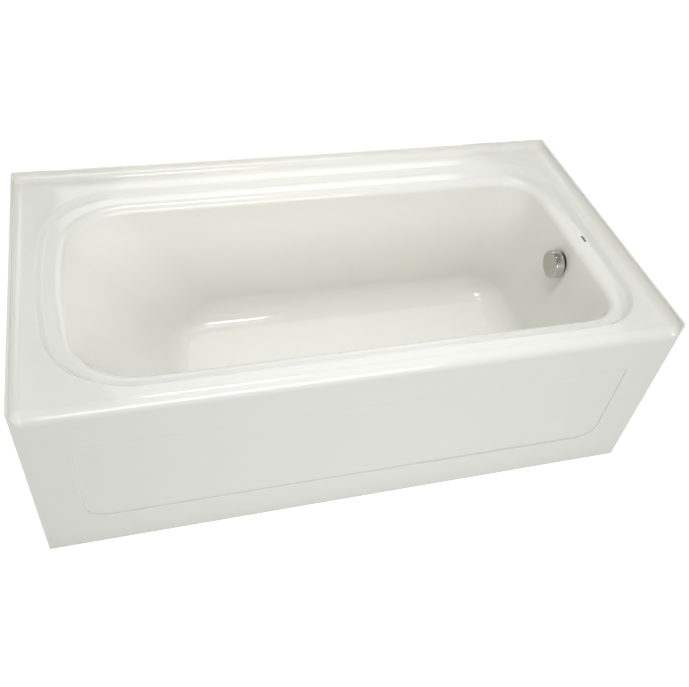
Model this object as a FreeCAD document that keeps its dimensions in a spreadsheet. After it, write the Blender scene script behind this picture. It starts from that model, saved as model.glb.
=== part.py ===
"""Alcove bathtub with integral apron and a cable-operated waste and overflow.

Frame: +X towards the drain end (foot), +Y towards the back wall, +Z up.
The origin is the middle of the bounding box on the floor.
"""
import FreeCAD, Part
import math
import os

import Sketcher
from FreeCAD import Placement, Rotation, Vector

# Driving dimensions in millimetres (angles in degrees).
DIMENSIONS = [
    # overall
    ("tub_length", 1524.0),
    ("tub_width", 812.8),
    ("deck_height", 489.0),
    ("shell_wall", 5.0),
    # tile flange on the back and the two ends
    ("flange_height", 25.4),
    ("flange_wall", 6.0),
    ("cove_radius", 18.0),
    ("flange_corner_radius", 6.0),
    ("front_edge_radius", 26.0),
    # outline of the sunk rim, measured from the outside of the tub
    ("rim_front", 50.0),
    ("rim_back", 70.0),
    ("rim_head", 53.0),
    ("rim_foot", 45.0),
    ("rim_corner_head", 200.0),
    ("rim_corner_foot", 140.0),
    ("head_bow_radius", 1600.0),
    # sloped riser, ledge and well, each measured from the one before
    ("riser_run", 12.0),
    ("riser_drop", 15.0),
    ("ledge_front", 34.0),
    ("ledge_back", 52.0),
    ("ledge_head", 43.0),
    ("ledge_foot", 37.0),
    ("roll_radius", 24.0),
    ("rim_edge_radius", 5.0),
    # well
    ("floor_height", 80.0),
    ("floor_radius", 68.0),
    ("lean_front", 45.0),
    ("lean_back", 30.0),
    ("lean_head", 248.0),
    ("lean_foot", 50.0),
    ("well_corner_head", 140.0),
    ("well_corner_foot", 92.0),
    ("backrest_radius", 1850.0),
    # moulded recess in the apron
    ("recess_side", 100.0),
    ("recess_top", 117.0),
    ("recess_bottom", 105.0),
    ("recess_depth", 4.0),
    ("recess_rim_radius", 3.0),
    ("recess_corner_top", 15.0),
    ("recess_corner_bottom", 50.0),
    # timber that stiffens the moulding and carries it on the floor
    ("board_thickness", 12.0),
    ("board_from_head", 50.0),
    ("board_from_side", 75.0),
    ("board_from_drain", 90.0),
    ("foot_width", 60.0),
    ("foot_inset", 30.0),
    ("batten_thickness", 19.0),
    ("batten_gap", 3.0),
    ("batten_end_gap", 60.0),
    ("rail_height", 60.0),
    ("rail_end_gap", 20.0),
    ("post_width", 38.0),
    ("post_spacing", 420.0),
    # waste positions
    ("waste_from_back", 422.0),
    ("drain_from_foot", 250.0),
    ("overflow_drop", 101.0),
    ("waste_axis_height", 38.0),
    # pipework
    ("pipe_radius", 19.05),
    ("pipe_wall", 2.0),
    ("socket_gap", 0.15),
    ("socket_wall", 3.0),
    ("socket_depth", 22.0),
    ("tee_bottom", 4.0),
    ("tee_top", 84.0),
    ("tee_branch", 46.0),
    ("outlet_depth", 18.0),
    ("nut_radius", 28.0),
    ("nut_height", 16.0),
    ("nut_lip", 3.0),
    ("washer_thickness", 3.0),
    # overflow
    ("overflow_hole_radius", 29.0),
    ("hole_gap", 0.5),
    ("sleeve_gap", 1.5),
    ("seal_radius", 34.0),
    ("gasket_radius", 38.0),
    ("seal_least", 1.2),
    ("gasket_least", 2.0),
    ("retainer_flange", 3.0),
    ("retainer_wall", 3.5),
    ("retainer_length", 17.0),
    ("retainer_spoke_width", 6.0),
    ("elbow_depth", 43.0),
    ("elbow_wall", 5.35),
    ("elbow_back_wall", 3.0),
    ("elbow_flange", 4.0),
    ("elbow_drop", 62.0),
    ("outlet_gap", 0.5),
    ("spindle_radius", 4.0),
    ("running_gap", 0.05),
    ("spindle_end_gap", 1.0),
    ("hub_radius", 9.0),
    ("drum_radius", 14.0),
    ("drum_width", 8.0),
    ("drum_rim", 2.0),
    ("drum_groove", 3.0),
    ("knob_radius", 39.0),
    ("knob_depth", 23.5),
    ("knob_wall", 2.5),
    ("knob_gap", 0.8),
    ("knob_boss_gap", 2.0),
    ("knob_edge_radius", 3.0),
    ("set_screw_radius", 2.5),
    ("set_screw_stand", 3.0),
    # drain and stopper
    ("drain_hole_radius", 26.0),
    ("drain_thread_radius", 22.2),
    ("thread_gap", 0.2),
    ("drain_bore_radius", 19.5),
    ("drain_lip_radius", 35.0),
    ("drain_lip_height", 3.0),
    ("drain_lip_width", 8.0),
    ("seat_drop", 2.0),
    ("drain_depth", 27.0),
    ("spider_thickness", 4.0),
    ("spoke_width", 3.0),
    ("guide_wall", 3.0),
    ("shoe_flange", 3.0),
    ("shoe_wall", 6.6),
    ("shoe_bottom", 19.0),
    ("shoe_floor", 3.0),
    ("shoe_boss_reach", 30.0),
    ("drain_gasket", 3.0),
    ("drain_gasket_inset", 1.0),
    ("stopper_radius", 29.0),
    ("stopper_thickness", 3.5),
    ("stopper_gap", 0.3),
    ("stopper_chamfer", 1.0),
    ("stopper_skin", 2.0),
    ("crown_radius", 17.4),
    ("crown_rise", 0.5),
    ("plug_gap", 1.5),
    ("stem_radius", 3.0),
    ("stem_foot", 31.6),
    # lift rocker in the shoe
    ("rocker_reach", 23.0),
    ("rocker_axis_height", 34.0),
    ("rocker_tip_radius", 2.0),
    ("rocker_rest_angle", 12.0),
    ("rocker_width", 8.0),
    ("rocker_hub_wall", 3.0),
    ("rocker_hub_width", 12.0),
    ("rocker_neck", 1.5),
    ("rocker_horn", 11.0),
    ("pin_radius", 2.0),
    ("pin_inset", 0.6),
    # drive cable
    ("cable_radius", 2.5),
    ("cable_offset", 32.0),
    ("cable_height", 50.0),
    ("cable_bend", 60.0),
    ("ferrule_radius", 4.0),
    ("ferrule_length", 10.0),
    ("boss_radius", 5.0),
]


class Size:
    """A number together with the sheet expression that gives it."""

    def __init__(self, value, text=None):
        self.value = float(value)
        self.text = text if text is not None else f"({float(value)!r})"

    def _pair(self, other):
        return other if isinstance(other, Size) else Size(other)

    def __add__(self, other):
        other = self._pair(other)
        return Size(self.value + other.value, f"({self.text} + {other.text})")

    def __sub__(self, other):
        other = self._pair(other)
        return Size(self.value - other.value, f"({self.text} - {other.text})")

    def __mul__(self, other):
        other = self._pair(other)
        return Size(self.value * other.value, f"({self.text} * {other.text})")

    def __truediv__(self, other):
        other = self._pair(other)
        return Size(self.value / other.value, f"({self.text} / {other.text})")

    def __radd__(self, other):
        return self._pair(other) + self

    def __rsub__(self, other):
        return self._pair(other) - self

    def __rmul__(self, other):
        return self._pair(other) * self

    def __neg__(self):
        return Size(0) - self


def slope_length(run, rise):
    """Length of a slope, as a Size."""
    value = math.hypot(run.value, rise.value)
    return Size(value, f"sqrt({run.text} ^ 2 + {rise.text} ^ 2)")


doc = FreeCAD.newDocument("alcove_bathtub")
sheet = doc.addObject("Spreadsheet::Sheet", "Dims")
for row, (alias, number) in enumerate(DIMENSIONS, start=1):
    sheet.set(f"A{row}", alias)
    sheet.set(f"B{row}", str(number))
    sheet.setAlias(f"B{row}", alias)
doc.recompute()
DIM = {alias: Size(number, f"Dims.{alias}") for alias, number in DIMENSIONS}

PIECES = []

# How far a cutting tool runs past the face that it opens.
PAST = Size(1)


# ---------------------------------------------------------------- helpers

def new_body(name):
    body = doc.addObject("PartDesign::Body", name)
    body.Label = name
    PIECES.append(body)
    return body


def sketch_on(body, role, name, offset=None):
    """A sketch on one of the body's own origin planes, moved along its normal."""
    sketch = body.newObject("Sketcher::SketchObject", name)
    plane = [f for f in body.Origin.OriginFeatures if f.Role == role][0]
    sketch.AttachmentSupport = [(plane, "")]
    sketch.MapMode = "FlatFace"
    if offset is not None:
        sketch.setExpression("AttachmentOffset.Base.z", offset.text)
    return sketch


def dimension(sketch, name, size, *args):
    """Add one dimensional constraint and bind it to the sheet."""
    index = sketch.addConstraint(Sketcher.Constraint(*args, size.value))
    sketch.renameConstraint(index, name)
    sketch.setExpression(f"Constraints.{name}", size.text)


def place_point(sketch, name, geo, pos, x, y):
    dimension(sketch, f"{name}_x", x, "DistanceX", -1, 1, geo, pos)
    dimension(sketch, f"{name}_y", y, "DistanceY", -1, 1, geo, pos)


def polygon(sketch, points):
    """Closed outline of straight lines through points given as (x, y) sizes."""
    count = len(points)
    for i, (x, y) in enumerate(points):
        x2, y2 = points[(i + 1) % count]
        line = Part.LineSegment(Vector(x.value, y.value, 0), Vector(x2.value, y2.value, 0))
        sketch.addGeometry(line, False)
    for i in range(count):
        sketch.addConstraint(Sketcher.Constraint("Coincident", i, 2, (i + 1) % count, 1))
    for i, (x, y) in enumerate(points):
        place_point(sketch, f"p{i}", i, 1, x, y)


def rectangle(sketch, x1, y1, x2, y2):
    polygon(sketch, [(x1, y1), (x2, y1), (x2, y2), (x1, y2)])


def circle(sketch, radius, x=Size(0), y=Size(0)):
    geo = sketch.addGeometry(Part.Circle(Vector(x.value, y.value, 0), Vector(0, 0, 1), radius.value), False)
    dimension(sketch, f"r{geo}", radius, "Radius", geo)
    place_point(sketch, f"c{geo}", geo, 3, x, y)


def arc(cx, cy, radius, start, end):
    return Part.ArcOfCircle(Part.Circle(Vector(cx, cy, 0), Vector(0, 0, 1), radius), start, end)


def rounded_rectangle(sketch, x1, y1, x2, y2, r_low, r_high):
    """Rectangle with one corner radius at the low y side and one at the high y side."""
    a, b, c, d = x1.value, y1.value, x2.value, y2.value
    lo, hi = r_low.value, r_high.value
    quarter = math.pi / 2
    geometry = [
        Part.LineSegment(Vector(a + lo, b, 0), Vector(c - lo, b, 0)),
        arc(c - lo, b + lo, lo, 3 * quarter, 4 * quarter),
        Part.LineSegment(Vector(c, b + lo, 0), Vector(c, d - hi, 0)),
        arc(c - hi, d - hi, hi, 0, quarter),
        Part.LineSegment(Vector(c - hi, d, 0), Vector(a + hi, d, 0)),
        arc(a + hi, d - hi, hi, quarter, 2 * quarter),
        Part.LineSegment(Vector(a, d - hi, 0), Vector(a, b + lo, 0)),
        arc(a + lo, b + lo, lo, 2 * quarter, 3 * quarter),
    ]
    sketch.addGeometry(geometry, False)
    for i in range(8):
        sketch.addConstraint(Sketcher.Constraint("Tangent", i, 2, (i + 1) % 8, 1))
    for i, kind in ((0, "Horizontal"), (2, "Vertical"), (4, "Horizontal"), (6, "Vertical")):
        sketch.addConstraint(Sketcher.Constraint(kind, i))
    for i, radius in ((1, r_low), (3, r_high), (5, r_high), (7, r_low)):
        dimension(sketch, f"r{i}", radius, "Radius", i)
    dimension(sketch, "low", y1, "DistanceY", -1, 1, 0, 1)
    dimension(sketch, "high", y2, "DistanceY", -1, 1, 4, 1)
    dimension(sketch, "right", x2, "DistanceX", -1, 1, 2, 1)
    dimension(sketch, "left", x1, "DistanceX", -1, 1, 6, 1)


def basin_outline(sketch, x_head, x_foot, y_front, y_back, r_head, r_foot, r_bow):
    """Outline of the basin seen from above, with a bowed head end.

    Front line, foot corner, foot line, foot corner, back line, head corner,
    bowed head end, head corner, each tangent to the next.
    """
    y_mid = (y_front + y_back) / 2
    bow_x = x_head + r_bow
    reach = r_bow.value - r_head.value
    rise = (y_back.value - y_front.value) / 2 - r_head.value
    corner_x = bow_x.value - math.sqrt(reach ** 2 - rise ** 2)
    turn = math.atan2(rise, corner_x - bow_x.value)
    xf, yf, yb = x_foot.value, y_front.value, y_back.value
    rf, rh = r_foot.value, r_head.value
    quarter = math.pi / 2
    geometry = [
        Part.LineSegment(Vector(corner_x, yf, 0), Vector(xf - rf, yf, 0)),
        arc(xf - rf, yf + rf, rf, 3 * quarter, 4 * quarter),
        Part.LineSegment(Vector(xf, yf + rf, 0), Vector(xf, yb - rf, 0)),
        arc(xf - rf, yb - rf, rf, 0, quarter),
        Part.LineSegment(Vector(xf - rf, yb, 0), Vector(corner_x, yb, 0)),
        arc(corner_x, yb - rh, rh, quarter, turn),
        arc(bow_x.value, y_mid.value, r_bow.value, turn, 4 * quarter - turn),
        arc(corner_x, yf + rh, rh, 4 * quarter - turn, 3 * quarter),
    ]
    sketch.addGeometry(geometry, False)
    for i in range(8):
        sketch.addConstraint(Sketcher.Constraint("Tangent", i, 2, (i + 1) % 8, 1))
    for i, kind in ((0, "Horizontal"), (2, "Vertical"), (4, "Horizontal")):
        sketch.addConstraint(Sketcher.Constraint(kind, i))
    for i, radius in ((1, r_foot), (3, r_foot), (5, r_head), (6, r_bow), (7, r_head)):
        dimension(sketch, f"r{i}", radius, "Radius", i)
    dimension(sketch, "front", y_front, "DistanceY", -1, 1, 0, 1)
    dimension(sketch, "back", y_back, "DistanceY", -1, 1, 4, 1)
    dimension(sketch, "foot", x_foot, "DistanceX", -1, 1, 2, 1)
    place_point(sketch, "bow", 6, 3, bow_x, y_mid)


def pad(body, name, sketch, length, reverse=False, symmetric=False):
    feature = body.newObject("PartDesign::Pad", name)
    feature.Profile = sketch
    feature.setExpression("Length", length.text)
    feature.Reversed = reverse
    if symmetric:
        feature.SideType = "Symmetric"
    return feature


def pocket(body, name, sketch, length, reverse=False, symmetric=False):
    feature = body.newObject("PartDesign::Pocket", name)
    feature.Profile = sketch
    feature.setExpression("Length", length.text)
    feature.Reversed = reverse
    if symmetric:
        feature.SideType = "Symmetric"
    return feature


def edges_where(feature, test):
    names = []
    for i, edge in enumerate(feature.Shape.Edges, start=1):
        if test(edge):
            names.append(f"Edge{i}")
    return names


def fillet(body, name, test, radius):
    """Round the edges of the body's tip that pass the test."""
    doc.recompute()
    base = body.Tip
    names = edges_where(base, test)
    if not names:
        raise RuntimeError(f"{name}: no edge found")
    feature = body.newObject("PartDesign::Fillet", name)
    feature.Base = (base, names)
    feature.setExpression("Radius", radius.text)
    return feature


def near(a, b, tolerance=0.01):
    return abs(a - b) < tolerance


def level(edge, z):
    """True if the whole edge lies at height z."""
    box = edge.BoundBox
    return near(box.ZMin, z) and near(box.ZMax, z)


# ------------------------------------------------- outlines shared by pieces

half_length = DIM["tub_length"] / 2
half_width = DIM["tub_width"] / 2
wall = DIM["shell_wall"]
deck = DIM["deck_height"]
ledge = deck - DIM["riser_drop"]
floor = DIM["floor_height"]
waste_y = half_width - DIM["waste_from_back"]
drain_x = half_length - DIM["drain_from_foot"]
axis_z = DIM["waste_axis_height"]
overflow_z = deck - DIM["overflow_drop"]
pipe = DIM["pipe_radius"]
pipe_bore = pipe - DIM["pipe_wall"]
socket = pipe + DIM["socket_gap"]
socket_out = socket + DIM["socket_wall"]


def outline_at(stage, grow=Size(0)):
    """Arguments of basin_outline for a stage of the basin, grown outwards by a wall."""
    head = -half_length + DIM["rim_head"]
    foot = half_length - DIM["rim_foot"]
    front = -half_width + DIM["rim_front"]
    back = half_width - DIM["rim_back"]
    corner_head = DIM["rim_corner_head"]
    corner_foot = DIM["rim_corner_foot"]
    bow = DIM["head_bow_radius"]
    if stage != "rim":
        run = DIM["riser_run"]
        head, foot, front, back = head + run, foot - run, front + run, back - run
        corner_head, corner_foot, bow = corner_head - run, corner_foot - run, bow - run
    if stage in ("well", "floor"):
        head, foot = head + DIM["ledge_head"], foot - DIM["ledge_foot"]
        front, back = front + DIM["ledge_front"], back - DIM["ledge_back"]
    if stage == "floor":
        head, foot = head + DIM["lean_head"], foot - DIM["lean_foot"]
        front, back = front + DIM["lean_front"], back - DIM["lean_back"]
    return (head - grow, foot + grow, front - grow, back + grow,
            corner_head + grow, corner_foot + grow, bow + grow)


# Face of the foot wall at the overflow, and the line of the overflow pipe behind it.
foot_slope = DIM["lean_foot"] / (ledge - floor)
wall_x = outline_at("floor")[1] + foot_slope * (overflow_z - floor)
gasket_reach = wall + DIM["gasket_radius"] * foot_slope + DIM["gasket_least"]
pipe_x = wall_x + gasket_reach + socket_out + DIM["outlet_gap"]


def keep(piece, label):
    """Give a finished piece its name and put it on the list."""
    piece.Label = label
    PIECES.append(piece)
    return piece


def place(piece, x, y, z, rotation=None):
    """Put a piece at a bound position, turned by a fixed rotation."""
    piece.Placement = Placement(Vector(x.value, y.value, z.value), rotation or Rotation())
    for axis, size in zip("xyz", (x, y, z)):
        piece.setExpression(f"Placement.Base.{axis}", size.text)
    return piece


# A piece drawn about its own Z axis and laid with that axis pointing to the head end.
TO_HEAD = Rotation(Vector(0, 1, 0), -90)


def upright(name, radius, x, y, z1, z2):
    """Vertical cylinder from height z1 to z2."""
    cylinder = doc.addObject("Part::Cylinder", name)
    cylinder.setExpression("Radius", radius.text)
    cylinder.setExpression("Height", (z2 - z1).text)
    return place(cylinder, x, y, z1)


def lying(name, radius, x1, x2, y, z):
    """Cylinder along X from x1 to x2."""
    cylinder = doc.addObject("Part::Cylinder", name)
    cylinder.setExpression("Radius", radius.text)
    cylinder.setExpression("Height", (x2 - x1).text)
    return place(cylinder, x2, y, z, TO_HEAD)


def crosswise(name, radius, x, y1, y2, z):
    """Cylinder along Y from y1 to y2."""
    cylinder = doc.addObject("Part::Cylinder", name)
    cylinder.setExpression("Radius", radius.text)
    cylinder.setExpression("Height", (y2 - y1).text)
    return place(cylinder, x, y2, z, Rotation(Vector(1, 0, 0), 90))


def block(name, x1, y1, z1, x2, y2, z2):
    """Square timber between two opposite corners."""
    box = doc.addObject("Part::Box", name)
    for prop, size in (("Length", x2 - x1), ("Width", y2 - y1), ("Height", z2 - z1)):
        box.setExpression(prop, size.text)
    return place(box, x1, y1, z1)


def group(label, pieces):
    """Separate solids that share one node."""
    compound = doc.addObject("Part::Compound", f"{label}_group")
    compound.Links = pieces
    return keep(compound, label)


def turned(body, name, points):
    """Revolve a profile of (radius, height) points about the body's Z axis."""
    sketch = sketch_on(body, "XZ_Plane", f"{name}_profile")
    polygon(sketch, points)
    feature = body.newObject("PartDesign::Revolution", name)
    feature.Profile = sketch
    feature.ReferenceAxis = (sketch, ["V_Axis"])
    return feature


def spokes(body, name, count, inner, outer, width, z1, z2):
    """Arms from the hub to the wall, spread evenly about the Z axis."""
    sketch = sketch_on(body, "XY_Plane", f"{name}_outline", z1)
    rectangle(sketch, inner, -width / 2, outer, width / 2)
    arm = pad(body, f"{name}_arm", sketch, z2 - z1)
    doc.recompute()
    pattern = body.newObject("PartDesign::PolarPattern", name)
    pattern.Originals = [arm]
    pattern.Axis = (sketch, ["N_Axis"])
    pattern.Angle = 360
    pattern.Occurrences = count
    body.Tip = pattern
    return pattern


def outline_sketch(name, stage, height, grow=Size(0)):
    """Free-standing sketch of one stage of the basin at a given height."""
    sketch = doc.addObject("Sketcher::SketchObject", name)
    sketch.setExpression("Placement.Base.z", height.text)
    basin_outline(sketch, *outline_at(stage, grow))
    return sketch


def ruled_solid(name, lower, upper, grow=Size(0)):
    """Straight-sided solid between two stages of the basin, each a (stage, height) pair."""
    solid = doc.addObject("Part::Loft", name)
    stages = (upper, lower)
    solid.Sections = [outline_sketch(f"{name}_{stage}", stage, height, grow) for stage, height in stages]
    solid.Solid = True
    solid.Ruled = True
    return solid


def well_solid(name, bottom, grow=Size(0)):
    """The bathing well as a solid: four leaning walls, the head one bowed, with rounded corners.

    The walls run from the floor outline at the given bottom up to the well outline at the ledge.
    """
    low, high = outline_at("floor", grow), outline_at("well", grow)
    middle = (low[2] + low[3]) / 2
    lean, rise = low[0] - high[0], ledge - bottom
    # the wedge stands past the head wall, which the bowed backrest then cuts
    spare = DIM["well_corner_head"]
    wedge = doc.addObject("Part::Wedge", f"{name}_wedge")
    sizes = {
        "Xmin": low[0] - spare, "Xmax": low[1], "Zmin": -low[3], "Zmax": -low[2],
        "X2min": high[0] - spare, "X2max": high[1], "Z2min": -high[3], "Z2max": -high[2],
        "Ymin": Size(0), "Ymax": rise,
    }
    for prop in ("Xmin", "Zmin", "Ymin", "X2min", "Z2min"):
        setattr(wedge, prop, sizes[prop].value)
    for prop, size in sizes.items():
        wedge.setExpression(prop, size.text)
    place(wedge, Size(0), Size(0), bottom, Rotation(Vector(1, 0, 0), 90))

    radius = DIM["backrest_radius"] + grow
    slope = slope_length(lean, rise)
    long = half_length
    backrest = doc.addObject("Part::Cylinder", f"{name}_backrest")
    backrest.setExpression("Radius", radius.text)
    backrest.setExpression("Height", (long * 2).text)
    angle = math.degrees(math.atan2(lean.value, rise.value))
    axis_x = low[0] + radius * rise / slope + long * lean / slope
    axis_height = bottom + radius * lean / slope - long * rise / slope
    place(backrest, axis_x, middle, axis_height, Rotation(Vector(0, -1, 0), angle))
    backrest.setExpression("Placement.Rotation.Angle", f"atan({lean.text} / {rise.text})")

    walls = doc.addObject("Part::MultiCommon", f"{name}_walls")
    walls.Shapes = [wedge, backrest]
    centre = (low[0] + low[1]) / 2

    def upright_edge(at_head):
        def test(edge):
            box = edge.BoundBox
            return box.ZLength > rise.value * 0.9 and (box.Center.x < centre.value) == at_head
        return test

    rounded = round_edges(f"{name}_head", walls, upright_edge(True), DIM["well_corner_head"] + grow)
    rounded = round_edges(f"{name}_foot", rounded, upright_edge(False), DIM["well_corner_foot"] + grow)
    floor_edge = outline_edge("floor", bottom, grow)
    return round_edges(f"{name}_floor", rounded, floor_edge, DIM["floor_radius"] + grow)


def join(name, pieces):
    fusion = doc.addObject("Part::MultiFuse", name)
    fusion.Shapes = pieces
    return fusion


def cut(name, base, tool):
    """One shape less another."""
    result = doc.addObject("Part::Cut", name)
    result.Base = base
    result.Tool = tool
    return result


def round_edges(name, base, test, radius):
    """Part fillet of one radius on the edges of base that pass the test."""
    doc.recompute()
    numbers = [i for i, edge in enumerate(base.Shape.Edges, start=1) if test(edge)]
    if not numbers:
        raise RuntimeError(f"{name}: no edge found")
    result = doc.addObject("Part::Fillet", name)
    result.Base = base
    result.Edges = [(i, radius.value, radius.value) for i in numbers]
    return result


def outline_edge(stage, height, grow=Size(0)):
    """Test for the edges of one stage's outline at one height: inside its limits and close to them."""
    x1, x2, y1, y2 = (size.value for size in outline_at(stage, grow)[:4])

    def within(box, margin):
        return (box.XMin > x1 - margin and box.XMax < x2 + margin
                and box.YMin > y1 - margin and box.YMax < y2 + margin)

    def test(edge):
        box = edge.BoundBox
        return level(edge, height.value) and within(box, 1) and not within(box, -DIM["riser_run"].value)

    return test


# ---------------------------------------------------------------- tub shell

def make_deck_frame():
    """Deck plate, apron and tile flange."""
    body = doc.addObject("PartDesign::Body", "deck_frame")
    under = deck - wall

    plate = sketch_on(body, "XY_Plane", "deck_outline", under)
    rectangle(plate, -half_length, -half_width, half_length, half_width)
    pad(body, "deck_plate", plate, wall)

    skirt = sketch_on(body, "XY_Plane", "apron_outline")
    rectangle(skirt, -half_length, -half_width, half_length, -half_width + wall)
    pad(body, "apron", skirt, deck)

    # upstand on the back and both ends, open to the front
    strip = DIM["flange_wall"]
    upstand = sketch_on(body, "XY_Plane", "flange_outline", under)
    inner_x = half_length - strip
    inner_y = half_width - strip
    polygon(upstand, [
        (-half_length, -half_width), (-inner_x, -half_width), (-inner_x, inner_y),
        (inner_x, inner_y), (inner_x, -half_width), (half_length, -half_width),
        (half_length, half_width), (-half_length, half_width),
    ])
    pad(body, "tile_flange", upstand, DIM["flange_height"] + wall)

    def flange_corner(edge):
        box = edge.BoundBox
        upright = near(box.ZMin, deck.value) and near(box.ZMax, deck.value + DIM["flange_height"].value)
        return upright and near(abs(box.XMin), inner_x.value) and near(box.YMax, inner_y.value)

    fillet(body, "flange_corners", flange_corner, DIM["cove_radius"])

    def cove_edge(edge):
        box = edge.BoundBox
        inside = max(abs(box.XMin), abs(box.XMax)) < half_length.value - 1
        return level(edge, deck.value) and inside and box.YMax > -half_width.value + 1

    fillet(body, "cove", cove_edge, DIM["cove_radius"])

    r = DIM["front_edge_radius"]

    def inner_front(edge):
        box = edge.BoundBox
        straight = near(box.YMin, box.YMax)
        return level(edge, under.value) and straight and near(box.YMin, -half_width.value + wall.value)

    fillet(body, "front_inside", inner_front, r - wall)

    # rounded front edge of the deck, between the two upstands
    round_sketch = sketch_on(body, "YZ_Plane", "front_round_profile")
    y0, z0 = -half_width, deck
    top = deck + DIM["cove_radius"] + PAST
    points = [(y0 + r, z0), (y0 + r, top), (y0 - PAST, top), (y0 - PAST, z0 - r), (y0, z0 - r)]
    for (ya, za), (yb, zb) in zip(points, points[1:]):
        line = Part.LineSegment(Vector(ya.value, za.value, 0), Vector(yb.value, zb.value, 0))
        round_sketch.addGeometry(line, False)
    bend = arc((y0 + r).value, (z0 - r).value, r.value, math.pi / 2, math.pi)
    round_sketch.addGeometry(bend, False)
    for i in range(3):
        round_sketch.addConstraint(Sketcher.Constraint("Coincident", i, 2, i + 1, 1))
    round_sketch.addConstraint(Sketcher.Constraint("Coincident", 3, 2, 4, 2))
    round_sketch.addConstraint(Sketcher.Constraint("Coincident", 4, 1, 0, 1))
    for i, (ya, za) in enumerate(points[:4]):
        place_point(round_sketch, f"p{i}", i, 1, ya, za)
    place_point(round_sketch, "p4", 3, 2, *points[4])
    dimension(round_sketch, "radius", r, "Radius", 4)
    pocket(body, "front_round", round_sketch, inner_x * 2, symmetric=True)

    # shallow recess moulded into the apron: the wall steps back and keeps its thickness
    depth = DIM["recess_depth"]
    limits = (-half_length + DIM["recess_side"], DIM["recess_bottom"],
              half_length - DIM["recess_side"], deck - DIM["recess_top"])
    corners = (DIM["recess_corner_bottom"], DIM["recess_corner_top"])
    backing = sketch_on(body, "XZ_Plane", "recess_backing", half_width - wall)
    grown = (limits[0] - wall, limits[1] - wall, limits[2] + wall, limits[3] + wall)
    rounded_rectangle(backing, *grown, corners[0] + wall, corners[1] + wall)
    pad(body, "recess_back", backing, depth, reverse=True)
    panel = sketch_on(body, "XZ_Plane", "recess_outline", half_width)
    rounded_rectangle(panel, *limits, *corners)
    pocket(body, "recess", panel, depth)

    def recess_rim(edge):
        box = edge.BoundBox
        in_face = near(box.YMin, -half_width.value) and near(box.YMax, -half_width.value)
        across = box.XMin > limits[0].value - 1 and box.XMax < limits[2].value + 1
        return in_face and across and box.ZMin > limits[1].value - 1 and box.ZMax < limits[3].value + 1

    fillet(body, "recess_rim", recess_rim, DIM["recess_rim_radius"])
    return body


def front_corner(name, frame, x_inner, towards_middle):
    """Carry one end's cove over the rounded front edge, where it runs out in the apron's face.

    The corner of the frame is cut away, and the section of deck, cove and flange takes its place,
    turned a quarter about the axis of the front edge.
    """
    r, c, strip = DIM["front_edge_radius"], DIM["cove_radius"], DIM["flange_wall"]
    axis_y, axis_height = -half_width + r, deck - r
    top = deck + DIM["flange_height"]
    x_cove, x_out = x_inner + c * towards_middle, x_inner - strip * towards_middle
    low_x, high_x = (x_out, x_cove) if towards_middle > 0 else (x_cove, x_out)
    gap_low, gap_high = (low_x - PAST, high_x) if towards_middle > 0 else (low_x, high_x + PAST)
    gap = block(f"{name}_gap", gap_low, -half_width - PAST, axis_height, gap_high, axis_y, top + PAST)

    section = doc.addObject("PartDesign::Body", f"{name}_section")
    profile = sketch_on(section, "XZ_Plane", f"{name}_profile")
    reach = top - axis_height + r
    points = [(x_out, r - wall), (x_cove, r - wall), (x_cove, r),
              (x_inner, r + c), (x_inner, reach), (x_out, reach)]
    pairs = list(zip(points, points[1:] + points[:1]))
    for index, ((xa, za), (xb, zb)) in enumerate(pairs):
        if index == 2:
            start = math.pi if towards_middle > 0 else 1.5 * math.pi
            profile.addGeometry(arc(x_cove.value, (r + c).value, c.value, start, start + math.pi / 2), False)
        else:
            line = Part.LineSegment(Vector(xa.value, za.value, 0), Vector(xb.value, zb.value, 0))
            profile.addGeometry(line, False)
    # the arc runs anticlockwise, so its ends change places between the two tubs' ends
    arc_low, arc_high = (2, 1) if towards_middle > 0 else (1, 2)
    joints = [(0, 2, 1, 1), (1, 2, 2, arc_low), (2, arc_high, 3, 1), (3, 2, 4, 1), (4, 2, 5, 1), (5, 2, 0, 1)]
    for joint in joints:
        profile.addConstraint(Sketcher.Constraint("Coincident", *joint))
    for index in (0, 1, 3, 4, 5):
        place_point(profile, f"p{index}", index, 1, *points[index])
    dimension(profile, "cove", c, "Radius", 2)
    place_point(profile, "p2", 1, 2, *points[2])
    turn = section.newObject("PartDesign::Revolution", f"{name}_turn")
    turn.Profile = profile
    turn.ReferenceAxis = (profile, ["H_Axis"])
    turn.Angle = 90
    place(section, Size(0), axis_y, axis_height)
    limits = block(f"{name}_limits", low_x, -half_width, axis_height, high_x, axis_y, top)
    piece = doc.addObject("Part::MultiCommon", name)
    piece.Shapes = [section, limits]
    return cut(f"{name}_opened", frame, gap), piece


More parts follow.
